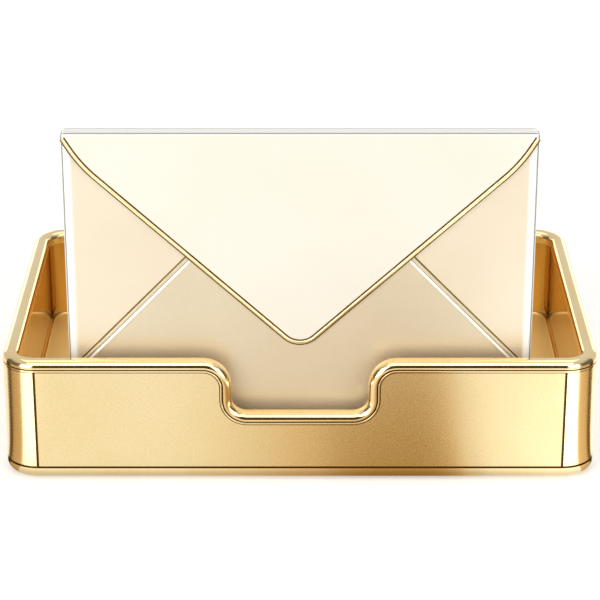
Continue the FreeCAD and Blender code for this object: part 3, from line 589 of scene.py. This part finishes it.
# The sweep, in m. It shows white. To polished metal it glows with a painted reflection, seen by
# glossy rays only: a painted warm shade in front, right of the middle, painted pools of light off
# the front corners, and painted shade close round the tray's foot.
# The front curve runs over the span from left to right, the round curve from the front of a
# corner to its back, and the tones from the deepest shade to full light.
floorShine = {
    "size": 6.0, "paper": "#EDEBE8", "glow": 0.37, "glowStart": 0.12, "glowEnd": 0.5,
    "cornerX": 0.1305, "cornerY": 0.074, "cornerRadius": 0.017, "contact": 0.014, "contactLevel": 0.62,
    "span": 0.3, "ahead": -0.08, "near": -0.26, "far": -0.315, "farShare": 0.06, "level": 1.1, "pool": 2.3,
    "poolStart": 0.03, "poolFull": 0.045, "poolFade": 0.15, "poolEnd": 0.22,
    "rightStart": 0.09, "rightEnd": 0.125, "rightLevel": 1.34,
    "front": (
        (0.0, 1.0), (0.3, 0.95), (0.5, 0.65), (0.6, 0.385), (0.69, 0.32), (0.79, 0.86), (0.85, 1.0),
        (1.0, 1.0),
    ),
    "round": (
        (0.0, 0.43), (0.05, 0.43), (0.065, 1.0), (0.245, 1.0), (0.285, 0.28), (0.48, 0.17), (0.52, 0.02),
        (0.59, 0.02), (0.625, 0.45), (1.0, 0.43),
    ),
    "tones": ((0.0, "#3A270C"), (0.3, "#AC8A54"), (0.65, "#DBC29E"), (1.0, "#FFFEFA")),
}


def makeFloor(look):
    material = startMaterial("paleSweepPaintedReflection")
    tree = material.node_tree
    path = addNode(tree, "ShaderNodeLightPath")
    place = addNode(tree, "ShaderNodeTexCoord").outputs["Object"]
    axes = addNode(tree, "ShaderNodeSeparateXYZ", links={0: place})
    # How far a point lies outside the tray's corner centres, and round which corner.
    spread = addNode(tree, "ShaderNodeVectorMath", {"operation": "ABSOLUTE"}, links={0: place})
    beyond = addNode(tree, "ShaderNodeVectorMath", {"operation": "SUBTRACT"}, links={0: spread}, values={
        1: (look["cornerX"], look["cornerY"], 0)})
    outside = addNode(tree, "ShaderNodeVectorMath", {"operation": "MAXIMUM"}, {1: (0, 0, 0)}, {0: beyond})
    distance = addNode(tree, "ShaderNodeVectorMath", {"operation": "LENGTH"}, links={0: outside})
    reach = distance.outputs["Value"]
    side = addNode(tree, "ShaderNodeSeparateXYZ", links={0: outside})
    forward = addNode(tree, "ShaderNodeMath", {"operation": "MULTIPLY_ADD"}, {1: -1.0, 2: -look["cornerY"]}, {
        0: axes.outputs["Y"]})
    bearing = addNode(tree, "ShaderNodeMath", {"operation": "ARCTAN2"}, links={
        0: side.outputs["X"], 1: forward})
    halfTurn = addNode(tree, "ShaderNodeMath", {"operation": "DIVIDE"}, {1: math.pi}, {0: bearing})
    # The painted shade in front and the painted pools of light round the corners.
    roundCurve = addNode(tree, "ShaderNodeFloatCurve", links={"Value": halfTurn})
    setCurve(roundCurve, look["round"])
    pool = addNode(tree, "ShaderNodeMath", {"operation": "MULTIPLY"}, {1: look["pool"]}, {0: roundCurve})
    across = addNode(tree, "ShaderNodeMapRange", links={"Value": axes.outputs["X"]}, values={
        "From Min": -look["span"] / 2, "From Max": look["span"] / 2})
    frontCurve = addNode(tree, "ShaderNodeFloatCurve", links={"Value": across})
    setCurve(frontCurve, look["front"])
    fade = addNode(tree, "ShaderNodeMapRange", links={"Value": axes.outputs["Y"]}, values={
        "From Min": look["far"], "From Max": look["near"], "To Min": look["farShare"]})
    ahead = addNode(tree, "ShaderNodeMath", {"operation": "LESS_THAN"}, {1: look["ahead"]}, {
        0: axes.outputs["Y"]})
    share = addNode(tree, "ShaderNodeMath", {"operation": "MULTIPLY"}, links={0: fade, 1: ahead})
    shade = addNode(tree, "ShaderNodeMix", values={2: 1.0}, links={0: share, 3: frontCurve})
    shadow = addNode(tree, "ShaderNodeMath", {"operation": "MINIMUM"}, {1: 1.0}, {0: pool})
    tone = addNode(tree, "ShaderNodeMath", {"operation": "MULTIPLY"}, links={0: shade, 1: shadow})
    ramp = addNode(tree, "ShaderNodeValToRGB", links={0: tone})
    for position, _ in look["tones"][1:-1]:
        ramp.color_ramp.elements.new(position)
    for element, (position, colour) in zip(ramp.color_ramp.elements, look["tones"]):
        element.position = position
        element.color = linearColour(colour)
    # How strong the painted reflection is: the ring that the pools lie in, the right side, and the
    # painted shade close to the foot.
    near = addNode(tree, "ShaderNodeMapRange", links={"Value": reach}, values={
        "From Min": look["poolStart"], "From Max": look["poolFull"]})
    far = addNode(tree, "ShaderNodeMapRange", links={"Value": reach}, values={
        "From Min": look["poolEnd"], "From Max": look["poolFade"]})
    ring = addNode(tree, "ShaderNodeMath", {"operation": "MULTIPLY"}, links={0: near, 1: far})
    bright = addNode(tree, "ShaderNodeMath", {"operation": "MAXIMUM"}, {1: 1.0}, {0: pool})
    light = addNode(tree, "ShaderNodeMix", values={2: 1.0}, links={0: ring, 3: bright})
    rightEnd = addNode(tree, "ShaderNodeMapRange", links={"Value": axes.outputs["X"]}, values={
        "From Min": look["rightStart"], "From Max": look["rightEnd"]})
    rightNear = addNode(tree, "ShaderNodeMath", {"operation": "MULTIPLY"}, links={0: rightEnd, 1: far})
    right = addNode(tree, "ShaderNodeMapRange", links={"Value": rightNear}, values={
        "To Min": look["level"], "To Max": look["level"] * look["rightLevel"]})
    lit = addNode(tree, "ShaderNodeMath", {"operation": "MULTIPLY"}, links={0: light, 1: right})
    contact = addNode(tree, "ShaderNodeMapRange", links={"Value": reach}, values={
        "From Min": look["cornerRadius"], "From Max": look["cornerRadius"] + look["contact"],
        "To Min": look["contactLevel"]})
    level = addNode(tree, "ShaderNodeMath", {"operation": "MULTIPLY"}, links={0: lit, 1: contact})
    # What each kind of ray finds: the camera white paper, the metal the painted reflection, the rest paper.
    paper = addNode(tree, "ShaderNodeBsdfDiffuse", values={"Color": linearColour(look["paper"])})
    even = addNode(tree, "ShaderNodeMapRange", links={"Value": reach}, values={
        "From Min": look["glowStart"], "From Max": look["glowEnd"], "To Min": look["glow"]})
    glow = addNode(tree, "ShaderNodeEmission", values={"Color": (1, 1, 1, 1)}, links={"Strength": even})
    white = addNode(tree, "ShaderNodeAddShader", links={0: paper, 1: glow})
    mirrored = addNode(tree, "ShaderNodeEmission", links={"Color": ramp, "Strength": level})
    shine = addNode(tree, "ShaderNodeMixShader", links={
        0: path.outputs["Is Glossy Ray"], 1: paper, 2: mirrored})
    pick = addNode(tree, "ShaderNodeMixShader", links={
        0: path.outputs["Is Camera Ray"], 1: shine, 2: white})
    addNode(tree, "ShaderNodeOutputMaterial", links={"Surface": pick})
    bm = bmesh.new()
    bmesh.ops.create_grid(bm, x_segments=1, y_segments=1, size=look["size"])
    addStage("studioFloor", bm, material)


makeFloor(floorShine)

# A flag of dark felt that only reflections see: a painted dark reflection. In the second mirror it
# glows as lit card, a painted light, so that it darkens the rim and not the envelope that mirrors the rim.
flagLook = {
    "place": (0, -1.5, 0.535), "target": (0, 0, 0.535), "width": 0.86, "height": 1.07,
    "felt": "#4A3E30", "lit": "#FFF6D8", "litStrength": 1.3, "litDepth": 2.0, "depthMargin": 0.5,
}


# The turn that points an axis of a lamp or of a flat stage piece at its target.
def faceTarget(look, axis):
    return (Vector(look["target"]) - Vector(look["place"])).to_track_quat(axis, "Y")


def makeFlag(name, look):
    material = startMaterial("flagPaintedReflection")
    tree = material.node_tree
    felt = addNode(tree, "ShaderNodeBsdfDiffuse", values={"Color": linearColour(look["felt"])})
    lit = addNode(tree, "ShaderNodeEmission", values={
        "Color": linearColour(look["lit"]), "Strength": look["litStrength"]})
    mirrors = addNode(tree, "ShaderNodeLightPath").outputs["Glossy Depth"]
    second = addNode(tree, "ShaderNodeMath", {"operation": "COMPARE"}, links={0: mirrors}, values={
        1: look["litDepth"], 2: look["depthMargin"]})
    pick = addNode(tree, "ShaderNodeMixShader", links={0: second, 1: felt, 2: lit})
    addNode(tree, "ShaderNodeOutputMaterial", links={"Surface": pick})
    bm = bmesh.new()
    bmesh.ops.create_grid(bm, x_segments=1, y_segments=1, size=0.5)  # 1 m each way
    bmesh.ops.scale(bm, vec=(look["width"], look["height"], 1), verts=bm.verts)
    turn = faceTarget(look, "Z").to_matrix().to_4x4()
    bmesh.ops.transform(bm, matrix=Matrix.Translation(look["place"]) @ turn, verts=bm.verts)
    flag = addStage(name, bm, material)
    flag.visible_camera = False
    flag.visible_diffuse = False
    flag.visible_shadow = False


makeFlag("cameraFlag", flagLook)

# Soft lamps above, in front and at both sides, and two small ones low behind, in m and watts.
lampTarget = (0, -0.05, 0.06)
lamps = {
    "overheadSoftbox": {"place": (0, 0.35, 1.5), "width": 1.4, "height": 0.95, "watts": 3.2},
    "frontSoftbox": {"place": (0, -1.0, 1.35), "width": 1.6, "height": 1.1, "watts": 7.2},
    "leftSoftbox": {"place": (-0.86, -1.2, 0.5), "width": 0.9, "height": 1.0, "watts": 8.0},
    "rightSoftbox": {"place": (0.86, -1.2, 0.5), "width": 0.9, "height": 1.0, "watts": 5.2},
    "backLeftSoftbox": {"place": (-0.75, 1.69, 0.3), "width": 0.8, "height": 0.5, "watts": 1.15},
    "backRightSoftbox": {"place": (0.75, 1.69, 0.3), "width": 0.8, "height": 0.5, "watts": 1.15},
}


def makeLamp(name, look):
    lamp = bpy.data.lights.new(name, "AREA")
    lamp.shape = "RECTANGLE"
    lamp.size = look["width"]
    lamp.size_y = look["height"]
    lamp.energy = look["watts"]
    holder = bpy.data.objects.new(name, lamp)
    holder.location = look["place"]
    holder.rotation_euler = faceTarget(look, "-Z").to_euler()
    holder.visible_camera = False
    bpy.context.scene.collection.objects.link(holder)


for name, look in lamps.items():
    makeLamp(name, dict(look, target=lampTarget))

# The air: white to the camera and a dim grey to the rest. Polished metal mirrors it from the
# front of the set to its back: dimmer in front, dark at the sides between the lamps, pale
# behind and, between the low and the high heading, overhead.
airLook = {
    "level": 0.42, "overhead": 0.74, "low": 0.45, "high": 0.75,
    "stops": ((0.0, 0.6), (0.2, 0.6), (0.28, 0.15), (0.64, 0.15), (0.72, 0.74), (1.0, 0.74)),
}


def makeAir(look):
    world = bpy.data.worlds.new("studioWorld")
    bpy.context.scene.world = world
    world.use_nodes = True
    tree = world.node_tree
    tree.nodes.clear()
    path = addNode(tree, "ShaderNodeLightPath")
    heading = addNode(tree, "ShaderNodeTexCoord").outputs["Generated"]
    axes = addNode(tree, "ShaderNodeSeparateXYZ", links={0: heading})
    back = addNode(tree, "ShaderNodeMapRange", values={"From Min": -1.0}, links={"Value": axes.outputs["Y"]})
    level = addNode(tree, "ShaderNodeFloatCurve", links={"Value": back})
    setCurve(level, look["stops"])
    high = addNode(tree, "ShaderNodeMapRange", links={"Value": axes.outputs["Z"]}, values={
        "From Min": look["low"], "From Max": look["high"]})
    mirrored = addNode(tree, "ShaderNodeMix", values={3: look["overhead"]}, links={0: high, 2: level})
    shine = addNode(tree, "ShaderNodeMix", values={2: look["level"]}, links={
        0: path.outputs["Is Glossy Ray"], 3: mirrored})
    strength = addNode(tree, "ShaderNodeMix", values={3: 1.0}, links={
        0: path.outputs["Is Camera Ray"], 2: shine})
    air = addNode(tree, "ShaderNodeBackground", {}, {"Color": (1, 1, 1, 1)}, {"Strength": strength})
    addNode(tree, "ShaderNodeOutputWorld", links={"Surface": air})


makeAir(airLook)

# The photograph's view: straight from the front and a little above, in m, mm and degrees.
cameraLook = {"lens": 139.74, "sensor": 36, "place": (0, -1.1256, 0.5389), "pitch": 23.06}


def makeCamera(look):
    camera = bpy.data.cameras.new("productCamera")
    camera.lens = look["lens"]
    camera.sensor_width = look["sensor"]
    holder = bpy.data.objects.new("productCamera", camera)
    holder.location = look["place"]
    holder.rotation_euler = (math.radians(90 - look["pitch"]), 0, 0)
    bpy.context.scene.collection.objects.link(holder)
    bpy.context.scene.camera = holder


makeCamera(cameraLook)
bpy.context.scene.view_settings.view_transform = "Standard"
print("studio set")
